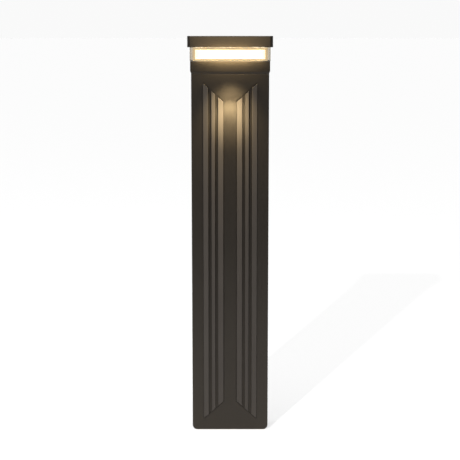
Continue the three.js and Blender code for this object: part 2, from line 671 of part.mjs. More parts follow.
// Each lead leaves and enters its case square on, and bows a little in between.
place(gear, "surge_lead", lead([
  [GEAR_X, WIRE_Y - 3, TERMINAL.high + GAP], [GEAR_X, WIRE_Y - 3, TERMINAL.high + 8],
  [GEAR_X, WIRE_Y, SURGE.low - 8], [GEAR_X, WIRE_Y, SURGE.low - GAP],
], 8), "lead");
place(gear, "driver_lead", lead([
  [GEAR_X, WIRE_Y, SURGE.high + GAP], [GEAR_X, WIRE_Y + 1, SURGE.high + 9],
  [GEAR_X, WIRE_Y + 1, DRIVER.low - 9], [GEAR_X, WIRE_Y, DRIVER.low - GAP],
], 8), "lead");
place(gear, "lamp_lead", lead([
  [GEAR_X, WIRE_Y, DRIVER.high + GAP], [GEAR_X, WIRE_Y, DRIVER.high + 14],
  [GEAR_X + 28, 2, 432], [LEAD_X, 0, 474], [LEAD_X, 0, 560], [LEAD_X, 0, 660],
  [LEAD_X, 0, 740], [LEAD_X, 0, CONNECTOR.low - GAP],
], 44), "lead");

// ---------------------------------------------------------------- build: head
place(head, "collar", collar(), "bronze");
place(head, "lead_grommet", grommet(), "rubber", [LEAD_X, 0, COLLAR_TOP]);
place(head, "lens_gasket_lower", gasketRing(-GAP, COLLAR_TOP - GROOVE.depth + GAP, COLLAR_TOP), "rubber");
place(head, "lens", lens(), "lens");
place(head, "lamp_frame", lampFrame(), "frame");
place(head, "diffuser", diffuser(), "opal");
place(head, "heat_sink", heatSink(), "aluminium");
place(head, "led_board_front", ledBoard(-1), "board");
place(head, "led_board_rear", ledBoard(1), "board");
const plugX = SINK.x1 + GAP;
const plug = box(
  plugX, -CONNECTOR.half, CONNECTOR.low, plugX + CONNECTOR.length, CONNECTOR.half, CONNECTOR.high,
);
place(head, "lamp_connector", plug, "terminal");
for (const [sideName, side] of SIDES) {
  for (const [rowName, row] of [["front", -1], ["rear", 1]]) {
    const [x, y] = [side * ROD.x, row * ROD.y];
    const low = DECK_LOW - ROD.low;
    const tieRod = rod(ROD.radius, CAP_BOTTOM + ROD.grip - low, [x, y, low], "z", 12);
    place(head, `tie_rod_${rowName}_${sideName}`, tieRod, "steel");
    const nutAt = [x, y, DECK_LOW - GAP - NUT.height];
    place(head, `tie_nut_${rowName}_${sideName}`, hexNut(), "steel", nutAt);
  }
}
place(head, "lens_gasket_upper", gasketRing(-GAP, CAP_BOTTOM, CAP_BOTTOM + GROOVE.depth - GAP), "rubber");
place(head, "cap", cap(), "bronze");

export default bollard;
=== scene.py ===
import math

import bmesh
import bpy
import numpy as np
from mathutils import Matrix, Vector
from mathutils.geometry import delaunay_2d_cdt


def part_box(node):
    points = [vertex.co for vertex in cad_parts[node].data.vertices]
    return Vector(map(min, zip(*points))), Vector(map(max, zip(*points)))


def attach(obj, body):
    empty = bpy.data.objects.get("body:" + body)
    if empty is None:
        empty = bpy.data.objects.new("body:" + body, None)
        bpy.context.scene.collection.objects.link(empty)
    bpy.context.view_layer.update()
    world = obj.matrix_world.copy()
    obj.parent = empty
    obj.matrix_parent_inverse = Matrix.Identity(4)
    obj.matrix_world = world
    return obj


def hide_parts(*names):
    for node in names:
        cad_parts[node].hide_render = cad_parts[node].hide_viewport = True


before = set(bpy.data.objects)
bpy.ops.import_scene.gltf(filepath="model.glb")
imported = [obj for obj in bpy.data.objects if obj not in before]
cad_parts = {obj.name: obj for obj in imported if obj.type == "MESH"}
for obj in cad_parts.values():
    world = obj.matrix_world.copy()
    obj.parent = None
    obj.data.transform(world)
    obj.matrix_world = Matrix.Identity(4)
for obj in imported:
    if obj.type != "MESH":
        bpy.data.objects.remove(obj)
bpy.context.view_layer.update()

ROOT = "root"
MM = 0.001
SIDES = (("left", -1), ("right", 1))
ROWS = (("front", -1), ("rear", 1))


# ------------------------------------------------------------------ sizes
def span(node):
    """Lowest and highest corner of a CAD node as two numpy triples."""
    low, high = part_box(node)
    return np.array(low, float), np.array(high, float)


SHELL_LOW, SHELL_HIGH = span("body_shell")
COVER_LOW, COVER_HIGH = span("rear_cover")
COLLAR_LOW, COLLAR_HIGH = span("collar")
LENS_LOW, LENS_HIGH = span("lens")
DIFFUSER_LOW, DIFFUSER_HIGH = span("diffuser")
CAP_LOW, CAP_HIGH = span("cap")
RECESS_RIB_LOW, RECESS_RIB_HIGH = span("rib_outer_right")

GAP = 0.3 * MM
HALF_W = SHELL_HIGH[0]
FRONT = SHELL_LOW[1]
SHELL_BACK = SHELL_HIGH[1]
BACK = COVER_HIGH[1]
BODY_TOP = SHELL_HIGH[2]
CORNER = 10 * MM              # lower corners, seen from the front
WALL = 3 * MM
LIP_THICKNESS = 2.7 * MM
LIP_END = HALF_W - 15 * MM    # where the return lips stop, out from the centre line
FRONT_BEND = 1.6 * MM
BACK_BEND = 1.5 * MM
INNER_BEND = 0.4 * MM

MITRE_RISE = 0.9              # the rib ends rise this much for each unit outwards
RECESS_DEPTH = 1.5 * MM
RECESS_SIDE = 1.2 * MM        # bed past the inner rib's near edge
RECESS_END = 2.4 * MM
RIB_EDGE = 0.7 * MM
RIB_LOW_SIDE = {"inner": 3.5 * MM, "middle": 3.5 * MM, "outer": 2.5 * MM}
STUD_RADIUS = 2 * MM
STUD_HEIGHTS = (0.110, 0.360, 0.610)

GROOVE_OUT = 77.2 * MM        # gasket seats in collar and cap
GROOVE_WIDTH = 2.6 * MM
GROOVE_DEPTH = 2.2 * MM
DEPTH_LESS_WIDTH = BACK - HALF_W

SIDE_SCREWS = ((-14 * MM, 62 * MM), (11 * MM, 62 * MM), (0.0, BODY_TOP - 13 * MM))   # depth, height
COVER_SCREW_X = HALF_W - 8 * MM
COVER_SCREW_Z = (34 * MM, 363 * MM, 692 * MM)
COVER_HOLE = 2.2 * MM         # radius, as for the other holes and bosses here
SUNK_HEAD = 4.6 * MM
SUNK_SHANK = 2.4 * MM
SUNK_DEPTH = 2.2 * MM
CROWN = ((4.2 * MM, 0.2 * MM), (3.5 * MM, 0.4 * MM), (2.6 * MM, 0.5 * MM))   # radius, rise
ROD_X, ROD_Y = 61 * MM, 14.5 * MM
ROD_HOLE = 2.8 * MM

DECK = 6 * MM                 # top wall of the collar
CHAMFER_START = 1.3 * MM      # above the collar's foot
CHAMFER_END = 5 * MM
SPIGOT_WALL = 4 * MM
LEAD_HOLE = 5.3 * MM
CAP_CORNER = 6.5 * MM
CAP_ROOF = 5 * MM
CAP_HOLLOW = 70.4 * MM        # half width
BOSS_RADIUS = 5.5 * MM
BOSS_SHORT = 0.5 * MM         # where a boss stops above the cap's lower face
ROD_SOCKET = 12 * MM
LENS_WALL = 5.6 * MM
OPAL_WALL = 2.5 * MM

SHARP_ANGLE = math.radians(34)
FACES_LESS_HOLES = 5          # the triangulation's own code: whole faces, with the holes left open


# ------------------------------------------------------------------ surfaces
def grid_faces(rows, columns, wrap_columns=True, wrap_rows=False):
    """Four-sided faces of a grid of points; columns and rows may close on themselves."""
    r = np.arange(rows if wrap_rows else rows - 1)[:, None]
    c = np.arange(columns if wrap_columns else columns - 1)[None, :]
    up, right = (r + 1) % rows, (c + 1) % columns
    corners = [r * columns + c, r * columns + right, up * columns + right, up * columns + c]
    return np.stack(np.broadcast_arrays(*corners), -1).reshape(-1, 4).tolist()


def loft(loops, wrap=True, ring=False):
    """Quads between one loop of points and the next; ring joins the last loop to the first."""
    points = np.stack(loops)
    rows, columns = points.shape[:2]
    return points.reshape(-1, 3), grid_faces(rows, columns, wrap, ring)


def leftward(loop, keep):
    """The loop in the order that turns left, by the sign of the area it goes round."""
    u, v = loop[:, keep[0]], loop[:, keep[1]]
    area = np.sum(u * np.roll(v, -1) - v * np.roll(u, -1))
    return loop if area > 0 else loop[::-1]


def flat(outline, holes=(), across=2):
    """Faces that fill a flat outline round its holes; across is the axis that stays the same."""
    keep = [axis for axis in range(3) if axis != across]
    loops = [leftward(np.asarray(loop), keep) for loop in (outline, *holes)]
    starts = np.cumsum([0] + [len(loop) for loop in loops])
    faces = [list(range(a, b)) for a, b in zip(starts[:-1], starts[1:])]
    plane = [Vector(point) for point in np.concatenate(loops)[:, keep].tolist()]
    corners, _, made, *_ = delaunay_2d_cdt(plane, [], faces, FACES_LESS_HOLES, 1e-8)
    points = np.zeros((len(corners), 3))
    points[:, keep] = np.array(corners)
    points[:, across] = loops[0][0, across]
    return points, made


def rounded(size, z, steps=6):
    """Closed plan outline at one height: a rectangle with quarter-circle corners.

    size is (half width, front, back, radius). A corner point is the corner's centre plus the
    radius times (cos a, sin a), with a over a quarter turn.
    """
    half_x, front, back, radius = size
    a = np.linspace(0, math.pi / 2, steps + 1)
    centres = [(half_x - radius, back - radius), (radius - half_x, back - radius),
               (radius - half_x, front + radius), (half_x - radius, front + radius)]
    corners = [
        np.stack([x + radius * np.cos(a + turn * math.pi / 2),
                  y + radius * np.sin(a + turn * math.pi / 2),
                  np.full_like(a, z)], 1)
        for turn, (x, y) in enumerate(centres)
    ]
    return np.concatenate(corners)


def inset(size, by):
    """The same plan outline drawn in on every side."""
    half_x, front, back, radius = size
    return half_x - by, front + by, back - by, max(radius - by, 0.1 * MM)


def square_size(half_x, radius):
    """Plan outline centred on the post, as deep as its width calls for."""
    half_y = half_x + DEPTH_LESS_WIDTH
    return half_x, -half_y, half_y, radius


def edge_rows(size, by, z_side, z_face, steps=5):
    """Loops over a rounded edge between an upright side and a level face.

    Over a quarter turn t the outline is drawn in by (1 - cos t) and the height moves by sin t.
    """
    t = np.linspace(0, math.pi / 2, steps)
    return [rounded(inset(size, by * (1 - math.cos(a))), z_side + (z_face - z_side) * math.sin(a))
            for a in t]


def circle(centre, radius, across=2, sides=32):
    """Points round a circle that faces along one axis."""
    turn = np.linspace(0, 2 * math.pi, sides, endpoint=False)
    u, v = [axis for axis in range(3) if axis != across]
    points = np.tile(np.array(centre, float), (sides, 1))
    points[:, u] += radius * np.cos(turn)
    points[:, v] += radius * np.sin(turn)
    return points


def moved(points, axis, value):
    """The same points with one coordinate set to a value."""
    copy = np.array(points, float)
    copy[:, axis] = value
    return copy


def body_from(name, patches):
    """One closed mesh out of patches that share their border points."""
    points, faces, start = [], [], 0
    for patch_points, patch_faces in patches:
        points.append(np.asarray(patch_points, float).reshape(-1, 3))
        faces += [[index + start for index in face] for face in patch_faces]
        start += len(points[-1])
    mesh = bpy.data.meshes.new(name)
    mesh.from_pydata(np.concatenate(points).tolist(), [], faces)
    tidy = bmesh.new()
    tidy.from_mesh(mesh)
    bmesh.ops.remove_doubles(tidy, verts=tidy.verts, dist=0.001 * MM)
    bmesh.ops.recalc_face_normals(tidy, faces=tidy.faces)
    tidy.to_mesh(mesh)
    tidy.free()
    piece = bpy.data.objects.new(name, mesh)
    bpy.context.scene.collection.objects.link(piece)
    return piece


def cad_copy(name, node):
    """A CAD node's own shape, merged and freed of the lines inside its flat faces."""
    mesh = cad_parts[node].data.copy()
    mesh.name = name
    tidy = bmesh.new()
    tidy.from_mesh(mesh)
    bmesh.ops.remove_doubles(tidy, verts=tidy.verts, dist=0.002 * MM)
    bmesh.ops.dissolve_limit(tidy, angle_limit=math.radians(0.5), verts=tidy.verts, edges=tidy.edges)
    tidy.to_mesh(mesh)
    tidy.free()
    piece = bpy.data.objects.new(name, mesh)
    bpy.context.scene.collection.objects.link(piece)
    return piece


def settle(piece, slot, nodes, bevel=0.0, segments=2, limit=40):
    """Finish, edge rounding and shading of a piece, and what it says to the frame."""
    piece.data.materials.clear()
    piece.data.materials.append(FINISHES[slot])
    piece.data.shade_smooth()
    piece.data.set_sharp_from_angle(angle=SHARP_ANGLE)
    if bevel:
        edge = piece.modifiers.new("edge", "BEVEL")
        edge.width = bevel
        edge.segments = segments
        edge.limit_method = "ANGLE"
        edge.angle_limit = math.radians(limit)
        edge.use_clamp_overlap = True
    even = piece.modifiers.new("even_shading", "WEIGHTED_NORMAL")
    even.keep_sharp = True
    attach(piece, ROOT)
    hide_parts(*nodes)


# ------------------------------------------------------------------ finishes
def node_material(name):
    """New node material, its tree and its shader."""
    material = bpy.data.materials.new(name)
    material.use_nodes = True
    tree = material.node_tree
    return material, tree, tree.nodes["Principled BSDF"]


def object_noise(tree, scale, detail=2.0, stretch=(1, 1, 1)):
    """Noise fixed to the piece; scale is in cells for each metre."""
    where = tree.nodes.new("ShaderNodeTexCoord")
    mapping = tree.nodes.new("ShaderNodeMapping")
    mapping.inputs["Scale"].default_value = stretch
    noise = tree.nodes.new("ShaderNodeTexNoise")
    noise.inputs["Scale"].default_value = scale
    noise.inputs["Detail"].default_value = detail
    tree.links.new(where.outputs["Object"], mapping.inputs["Vector"])
    tree.links.new(mapping.outputs["Vector"], noise.inputs["Vector"])
    return noise.outputs["Fac"]


def tones(tree, source, low, high, start=0.3, end=0.7):
    """Colour that runs from low to high over a stretch of the source."""
    node = tree.nodes.new("ShaderNodeValToRGB")
    node.color_ramp.elements[0].position = start
    node.color_ramp.elements[1].position = end
    node.color_ramp.elements[0].color = (*low, 1)
    node.color_ramp.elements[1].color = (*high, 1)
    tree.links.new(source, node.inputs["Fac"])
    return node.outputs["Color"]


def levels(tree, source, low, high, start=0.3, end=0.7):
    """Number that runs from low to high over a stretch of the source."""
    node = tree.nodes.new("ShaderNodeMapRange")
    node.inputs["From Min"].default_value = start
    node.inputs["From Max"].default_value = end
    node.inputs["To Min"].default_value = low
    node.inputs["To Max"].default_value = high
    tree.links.new(source, node.inputs["Value"])
    return node.outputs["Result"]


def relief(tree, shader, height, strength, distance):
    """Raised grain on a shader from a height pattern."""
    node = tree.nodes.new("ShaderNodeBump")
    node.inputs["Strength"].default_value = strength
    node.inputs["Distance"].default_value = distance
    tree.links.new(height, node.inputs["Height"])
    tree.links.new(node.outputs["Normal"], shader.inputs["Normal"])


def coat(name, colour, drift, roughness, gloss_range, grain, depth, stretch=(1, 1, 1),
         metallic=0.0, specular=0.5, tint=(1, 1, 1)):
    """A finish with a slow drift of tone, a finer drift of gloss and a fine raised grain.

    drift is the share by which the tone varies, grain the cells for each metre, and depth the
    height of the grain.
    """
    material, tree, shader = node_material(name)
    colour = np.array(colour)
    slow = object_noise(tree, 11, 3)
    tone = tones(tree, slow, tuple(colour * (1 - drift)), tuple(colour * (1 + drift)))
    tree.links.new(tone, shader.inputs["Base Color"])
    gloss = object_noise(tree, grain * 0.25, 2, stretch)
    worn = levels(tree, gloss, roughness - gloss_range, roughness + gloss_range)
    tree.links.new(worn, shader.inputs["Roughness"])
    shader.inputs["Metallic"].default_value = metallic
    shader.inputs["Specular IOR Level"].default_value = specular
    shader.inputs["Specular Tint"].default_value = (*tint, 1)
    relief(tree, shader, object_noise(tree, grain, 1, stretch), 0.5, depth)
    return material


def lit_opal():
    """Opal sheet with light behind it: whiter where the LEDs are, yellower past the last one."""
    material, tree, shader = node_material("lit_opal")
    shader.inputs["Base Color"].default_value = (0.86, 0.84, 0.78, 1)
    shader.inputs["Roughness"].default_value = 0.45
    where = tree.nodes.new("ShaderNodeTexCoord")
    parts = tree.nodes.new("ShaderNodeSeparateXYZ")
    out = tree.nodes.new("ShaderNodeMath")
    out.operation = "ABSOLUTE"
    tree.links.new(where.outputs["Object"], parts.inputs["Vector"])
    tree.links.new(parts.outputs["X"], out.inputs[0])
    glow = tones(tree, out.outputs[0], (1.0, 0.93, 0.76), (1.0, 0.80, 0.50), 0.064, 0.069)
    tree.links.new(glow, shader.inputs["Emission Color"])
    shader.inputs["Emission Strength"].default_value = 3.3
    return material


def frame_painted_glow():
    """Pale gold moulding round the opal sheet it holds, with a painted glow: its emission stands in for
    light from the opal, though the moulding is no lamp.
    """
    material, tree, shader = node_material("frame_painted_glow")
    shader.inputs["Base Color"].default_value = (0.20, 0.16, 0.10, 1)
    shader.inputs["Roughness"].default_value = 0.5
    soft = object_noise(tree, 60, 2)
    # painted glow: this emission colour and strength stand in for light the frame would catch from the opal
    glow = tones(tree, soft, (0.92, 0.80, 0.58), (0.96, 0.85, 0.63))
    tree.links.new(glow, shader.inputs["Emission Color"])
    shader.inputs["Emission Strength"].default_value = 1.15
    return material


def clear_lens():
    """Clear moulded band, very slightly warm, with a faint polish ripple."""
    material, tree, shader = node_material("clear_lens")
    shader.inputs["Base Color"].default_value = (0.55, 0.48, 0.38, 1)
    shader.inputs["Transmission Weight"].default_value = 1.0
    shader.inputs["IOR"].default_value = 1.49
    ripple = object_noise(tree, 90, 2)
    tree.links.new(levels(tree, ripple, 0.01, 0.05), shader.inputs["Roughness"])
    relief(tree, shader, ripple, 0.05, 0.02 * MM)
    return material


def galvanised():
    """Zinc spangle: cells of slightly different tone and gloss."""
    material, tree, shader = node_material("galvanised")
    where = tree.nodes.new("ShaderNodeTexCoord")
    cells = tree.nodes.new("ShaderNodeTexVoronoi")
    cells.inputs["Scale"].default_value = 190
    tree.links.new(where.outputs["Object"], cells.inputs["Vector"])
    grey = tree.nodes.new("ShaderNodeRGBToBW")
    tree.links.new(cells.outputs["Color"], grey.inputs["Color"])
    tone = tones(tree, grey.outputs["Val"], (0.36, 0.37, 0.38), (0.52, 0.53, 0.54), 0.2, 0.8)
    tree.links.new(tone, shader.inputs["Base Color"])
    tree.links.new(levels(tree, grey.outputs["Val"], 0.32, 0.5, 0.2, 0.8), shader.inputs["Roughness"])
    shader.inputs["Metallic"].default_value = 1.0
    return material


UPRIGHT_GRAIN = (1, 1, 0.02)
FINISHES = {
    "bronze": coat("dark_bronze_coat", (0.0092, 0.0074, 0.0058), drift=0.08, roughness=0.42,
                   gloss_range=0.05, grain=1300, depth=0.035 * MM, specular=0.56,
                   tint=(1.0, 0.89, 0.77)),
    # painted light: a lighter, less glossy copy of the body bronze that stands in for the light the rib
    # fronts catch
    "rib_bronze": coat("bronze_painted_light_copy", (0.0720, 0.0625, 0.0545), drift=0.05, roughness=0.42,
                       gloss_range=0.05, grain=1500, depth=0.005 * MM, stretch=UPRIGHT_GRAIN,
                       specular=0.15),
    "galvanised_steel": galvanised(),
    "stainless": coat("turned_stainless", (0.52, 0.51, 0.49), drift=0.06, roughness=0.28,
                      gloss_range=0.06, grain=2600, depth=0.01 * MM, metallic=1.0),
    "plain_aluminium": coat("mill_aluminium", (0.62, 0.63, 0.65), drift=0.06, roughness=0.34,
                            gloss_range=0.08, grain=1600, depth=0.015 * MM,
                            stretch=UPRIGHT_GRAIN, metallic=1.0),
    "clear_lens": clear_lens(),
    "opal": lit_opal(),
    # the lamp frame's finish is a painted glow: the moulding itself gives no light
    "lamp_frame": frame_painted_glow(),
    "rubber": coat("moulded_rubber", (0.018, 0.018, 0.018), drift=0.1, roughness=0.72,
                   gloss_range=0.08, grain=1800, depth=0.03 * MM),
    "gear_plastic": coat("grained_moulding", (0.035, 0.037, 0.040), drift=0.06, roughness=0.46,
                         gloss_range=0.08, grain=900, depth=0.05 * MM),
    "terminal_plastic": coat("pale_moulding", (0.66, 0.63, 0.56), drift=0.04, roughness=0.38,
                             gloss_range=0.05, grain=1200, depth=0.02 * MM),
    "circuit_board": coat("white_mask", (0.74, 0.74, 0.71), drift=0.03, roughness=0.35,
                          gloss_range=0.05, grain=2000, depth=0.01 * MM),
    "brass": coat("turned_brass", (0.62, 0.44, 0.16), drift=0.08, roughness=0.28,
                  gloss_range=0.07, grain=2200, depth=0.01 * MM, metallic=1.0),
    "lead_sheath": coat("lead_sheath", (0.020, 0.021, 0.024), drift=0.08, roughness=0.5,
                        gloss_range=0.08, grain=1500, depth=0.02 * MM),
}


# ------------------------------------------------------------------ post
def floor_height(x):
    """Lower edge of the post at a distance out: level, then a quarter circle up to the side."""
    over = np.clip(np.abs(x) - (HALF_W - CORNER), 0, CORNER)
    return CORNER - np.sqrt(CORNER ** 2 - over ** 2)


def arc(centre, radius, start, end, steps=5):
    """Points in plan on an arc, angles in quarter turns."""
    a = np.linspace(start, end, steps) * math.pi / 2
    return np.stack([centre[0] + radius * np.cos(a), centre[1] + radius * np.sin(a)], 1)


def straight(start, end, steps):
    """Points in plan on a line."""
    return np.linspace(start, end, steps)


def shell_line(half, front, back, front_bend, back_bend):
    """Right half of the channel in plan, from the front round the side to the end of the lip.

    Stretches: front near the corner, front bend, side, rear bend, lip. The same number of points
    whatever the sizes, so that the outer and the inner line match.
    """
    start = HALF_W - CORNER
    return [
        straight((start, front), (half - front_bend, front), 9),
        arc((half - front_bend, front + front_bend), front_bend, -1, 0),
        arc((half - back_bend, back - back_bend), back_bend, 0, 1),
        straight((half - back_bend, back), (start, back), 9),
        straight((start, back), (LIP_END, back), 2),
    ]


def upright(line):
    """Strip over a stretch of the plan, from the post's lower edge to its top."""
    low = np.column_stack([line, floor_height(line[:, 0])])
    high = np.column_stack([line, np.full(len(line), BODY_TOP)])
    return loft([low, high], wrap=False)


def panel(line, holes, across):
    """Flat wall over a straight stretch of the plan, from the post's lower edge to its top."""
    low = np.column_stack([line, floor_height(line[:, 0])])
    high = np.column_stack([line[::-1], np.full(len(line), BODY_TOP)])
    return flat(np.concatenate([low, high]), holes, across)


def mitred(near, far, side, y, past=0.0):
    """Four corners between two distances out, cut off on the lines of the rib ends."""
    low, high = RECESS_RIB_LOW[2], RECESS_RIB_HIGH[2]
    run = RECESS_RIB_HIGH[0]

    def bottom(x):
        return low + MITRE_RISE * (run - x) - past

    def top(x):
        return high - MITRE_RISE * (run - x) + past

    return np.array([(side * near, y, bottom(near)), (side * far, y, bottom(far)),
                     (side * far, y, top(far)), (side * near, y, top(near))])


def rib_middle(name):
    """Distance of a rib's middle from the centre line."""
    low, high = span(f"rib_{name}_right")
    return (low[0] + high[0]) / 2


def mirrored(line):
    """A line's right half and its mirror image as one line, from the left end to the right."""
    return np.concatenate([(line * (-1, 1))[::-1], line])


def rib_beds():
    """Sunk beds with a hole for each rib stud: patches, bed outlines and the holes' inner ends."""
    patches, beds, inner_ends = [], [], []
    near = span("rib_inner_right")[0][0] - RECESS_SIDE
    far = RECESS_RIB_HIGH[0] + GAP
    for _, side in SIDES:
        bed = mitred(near, far, side, FRONT, RECESS_END)
        sunk = moved(bed, 1, FRONT + RECESS_DEPTH)
        studs = [
            circle((side * rib_middle(name), FRONT + RECESS_DEPTH, z), STUD_RADIUS + GAP, 1, 20)
            for name in RIB_LOW_SIDE for z in STUD_HEIGHTS
        ]
        ends = [moved(hole, 1, FRONT + WALL) for hole in studs]
        patches += [loft([bed, sunk]), flat(sunk, studs, 1)]
        patches += [loft([hole, end]) for hole, end in zip(studs, ends)]
        beds.append(bed)
        inner_ends += ends
    return patches, beds, inner_ends


def side_and_lip(side, outer, inner):
    """Side wall, bends and return lip on one side, outside and inside, with their screw holes."""
    patches = []
    inner_back = inner[4][0][1]
    for line, end in ((outer, 0), (inner, -1)):
        _, front_bend, back_bend, corner, lip = [stretch * (side, 1) for stretch in line]
        wall = np.array([front_bend[-1], back_bend[0]])
        holes = [side_hole(side, y, z)[end] for y, z in SIDE_SCREWS]
        patches.append(panel(wall, holes, 0))
        patches += [upright(front_bend), upright(back_bend)]
        back = lip[0][1]
        lip_holes = [circle((side * COVER_SCREW_X, back, z), COVER_HOLE, 1, 20) for z in COVER_SCREW_Z]
        patches.append(panel(np.concatenate([corner, lip[1:]]), lip_holes, 1))
        if line is outer:
            patches += [loft([hole, moved(hole, 1, inner_back)]) for hole in lip_holes]
    return patches + [loft(side_hole(side, y, z)) for y, z in SIDE_SCREWS]


def sheet_edges(outer, inner):
    """Cut edges of the sheet: along the foot, round the top and down the end of each lip."""
    share = np.linspace(0, 1, 5)[:, None, None]
    foot = outer[None] * (1 - share) + inner[None] * share
    foot = np.concatenate([foot, floor_height(foot[..., :1])], 2)
    rim = np.concatenate([outer, inner[::-1]])
    patches = [loft(list(foot), wrap=False), flat(np.column_stack([rim, np.full(len(rim), BODY_TOP)]))]
    for end in (0, -1):
        lid = np.array([[*inner[end], BODY_TOP], [*outer[end], BODY_TOP]])
        patches.append(flat(np.concatenate([foot[:, end], lid]), (), 0))
    return patches


def body_shell():
    """Folded channel with return lips, a bed for the ribs on each side, and screw holes."""
    outer = shell_line(HALF_W, FRONT, SHELL_BACK, FRONT_BEND, BACK_BEND)
    inner = shell_line(HALF_W - WALL, FRONT + WALL, SHELL_BACK - LIP_THICKNESS, INNER_BEND, INNER_BEND)
    patches, beds, stud_holes = rib_beds()
    for line, holes in ((outer, beds), (inner, stud_holes)):
        patches.append(panel(mirrored(line[0]), holes, 1))
    for _, side in SIDES:
        patches += side_and_lip(side, outer, inner)
    whole = [mirrored(np.concatenate([*line[:4], line[4][1:]])) for line in (outer, inner)]
    piece = body_from("body_shell_formed", patches + sheet_edges(*whole))
    settle(piece, "bronze", ["body_shell"], 0.25 * MM, 2, 50)


def side_hole(side, y, z):
    """Countersunk hole in a side wall, as circles from the outer face to the inner one."""
    rows = [(HALF_W, SUNK_HEAD + GAP), (HALF_W - GAP, SUNK_HEAD + GAP),
            (HALF_W - GAP - SUNK_DEPTH, SUNK_SHANK + GAP), (HALF_W - WALL, SUNK_SHANK + GAP)]
    return [circle((side * x, y, z), radius, 0) for x, radius in rows]


def post_outline(by, y):
    """The post seen from the front, drawn in by a distance: square above, rounded below."""
    half, radius = HALF_W - by, CORNER - by
    a = np.linspace(0, math.pi / 2, 9)
    right, left = half - radius + radius * np.sin(a), radius - half - radius * np.cos(a)
    rise, fall = CORNER - radius * np.cos(a), CORNER - radius * np.sin(a)
    x = np.concatenate([right, [half, -half], left])
    z = np.concatenate([rise, [BODY_TOP - by, BODY_TOP - by], fall])
    return np.stack([x, np.full_like(x, y), z], 1)


def rear_cover():
    """Flat cover with a softened outer edge and six screw holes."""
    edge = 0.8 * MM
    t = np.linspace(0, math.pi / 2, 5)
    loops = [post_outline(0, COVER_LOW[1])]
    loops += [post_outline(edge * (1 - math.cos(a)), BACK - edge + edge * math.sin(a)) for a in t]
    near = [circle((side * COVER_SCREW_X, COVER_LOW[1], z), COVER_HOLE, 1, 20)
            for _, side in SIDES for z in COVER_SCREW_Z]
    far = [moved(hole, 1, BACK) for hole in near]
    patches = [loft(loops), flat(loops[0], near, 1), flat(loops[-1], far, 1)]
    patches += [loft([a, b]) for a, b in zip(near, far)]
    settle(body_from("rear_cover_pressed", patches), "bronze", ["rear_cover"])


def rib(name, side_name, side):
    """Mitred bar with a rounded front, higher towards the centre line, and three studs behind.

    The section runs back to front, over the top and back again. At each end the front is taken
    down by a quarter circle: at a distance e from the end, by edge * (1 - sqrt(1 - (1 - e/edge)^2)).
    """
    node = f"rib_{name}_{side_name}"
    low, high = span(node)
    near, far = sorted(np.abs([low[0], high[0]]))
    tall, short = FRONT - low[1], RIB_LOW_SIDE[name]
    back = FRONT + RECESS_DEPTH - GAP
    t = np.linspace(0, math.pi / 2, 5)
    x = np.concatenate([[near], near + RIB_EDGE * (1 - np.cos(t)), far - RIB_EDGE * (1 - np.sin(t)), [far]])
    fall = np.interp(x, [near + RIB_EDGE, far - RIB_EDGE], [tall, short])
    drop = np.concatenate([[0], RIB_EDGE * (1 - np.sin(t)), RIB_EDGE * (1 - np.cos(t)), [0]])
    y = FRONT - fall + drop
    y[0] = y[-1] = back
    away = RIB_EDGE * (1 - np.cos(t))
    taken = RIB_EDGE * (1 - np.sqrt(1 - (1 - away / RIB_EDGE) ** 2))
    centre_low, _, centre_high, _ = mitred(0, 0, 1, 0)[:, 2]    # the end lines at the centre line
    bottom = centre_low - MITRE_RISE * x
    top = centre_high + MITRE_RISE * x
    front_level = FRONT - fall
    rows = [(bottom + e, np.maximum(y, front_level + cut)) for e, cut in zip(away, taken)]
    rows += [(top - e, np.maximum(y, front_level + cut)) for e, cut in zip(away[::-1], taken[::-1])]
    loops = [np.stack([side * x, level, z], 1) for z, level in rows]
    ends = [(loop, [list(range(len(loop)))]) for loop in (loops[0], loops[-1])]
    rim = np.array([loop[0] for loop in loops] + [loop[-1] for loop in loops[::-1]])
    middle = side * (near + far) / 2
    roots = [circle((middle, back, z), STUD_RADIUS, 1, 20) for z in STUD_HEIGHTS]
    tips = [moved(root, 1, high[1]) for root in roots]
    patches = [loft(loops, wrap=False), *ends, flat(rim, roots, 1)]
    patches += [loft([root, tip]) for root, tip in zip(roots, tips)]
    patches += [flat(tip, (), 1) for tip in tips]
    # the ribs take the lighter bronze copy, painted light standing in for the light their fronts catch
    settle(body_from(f"{node}_trim", patches), "rib_bronze", [node])


# ------------------------------------------------------------------ fasteners
def thread(radius, depth, start, end, pitch=0.8 * MM):
    """Turned rows of a threaded shank: the radius falls and rises once in each pitch."""
    heights = np.linspace(start, end, max(2, 4 * int(abs(end - start) / pitch) + 1))
    wave = np.abs((heights / pitch) % 1 * 2 - 1)
    return [(radius - depth * w, h) for w, h in zip(wave, heights)]


def turned_loops(rows, seat, axis, sign, sides=24):
    """Circles of a turned piece whose own height runs from its seat along one axis."""
    loops = []
    for radius, height in rows:
        centre = np.array(seat, float)
        centre[axis] += sign * height
        loops.append(circle(centre, radius, axis, sides))
    return loops


def socket_screw(node, rows, seat, axis, sign, key=1.9 * MM, deep=1.5 * MM):
    """Screw turned from its rows, tip first, with a hexagon socket in the last of them."""
    loops = turned_loops(rows, seat, axis, sign)
    top = loops[-1][0][axis]
    centre = np.array(seat, float)
    centre[axis] = top
    mouth = circle(centre, key, axis, 6)
    floor = moved(mouth, axis, top - sign * deep)
    patches = [loft(loops), flat(loops[0], (), axis), flat(loops[-1], [mouth], axis)]
    patches += [loft([mouth, floor]), flat(floor, (), axis)]
    settle(body_from(f"{node}_turned", patches), "stainless", [node])


def side_screw(node, side, y, z):
    """Oval countersunk screw: cone in the wall, low crown just proud of it."""
    low, high = span(node)
    length = high[0] - low[0]
    seat = (side * max(abs(low[0]), abs(high[0])), y, z)
    tip = 0.5 * MM
    rows = [(SUNK_SHANK - tip, -length), *thread(SUNK_SHANK, 0.3 * MM, tip - length, -SUNK_DEPTH)]
    rows += [(SUNK_HEAD, 0), *CROWN]
    socket_screw(node, rows, seat, 0, side)


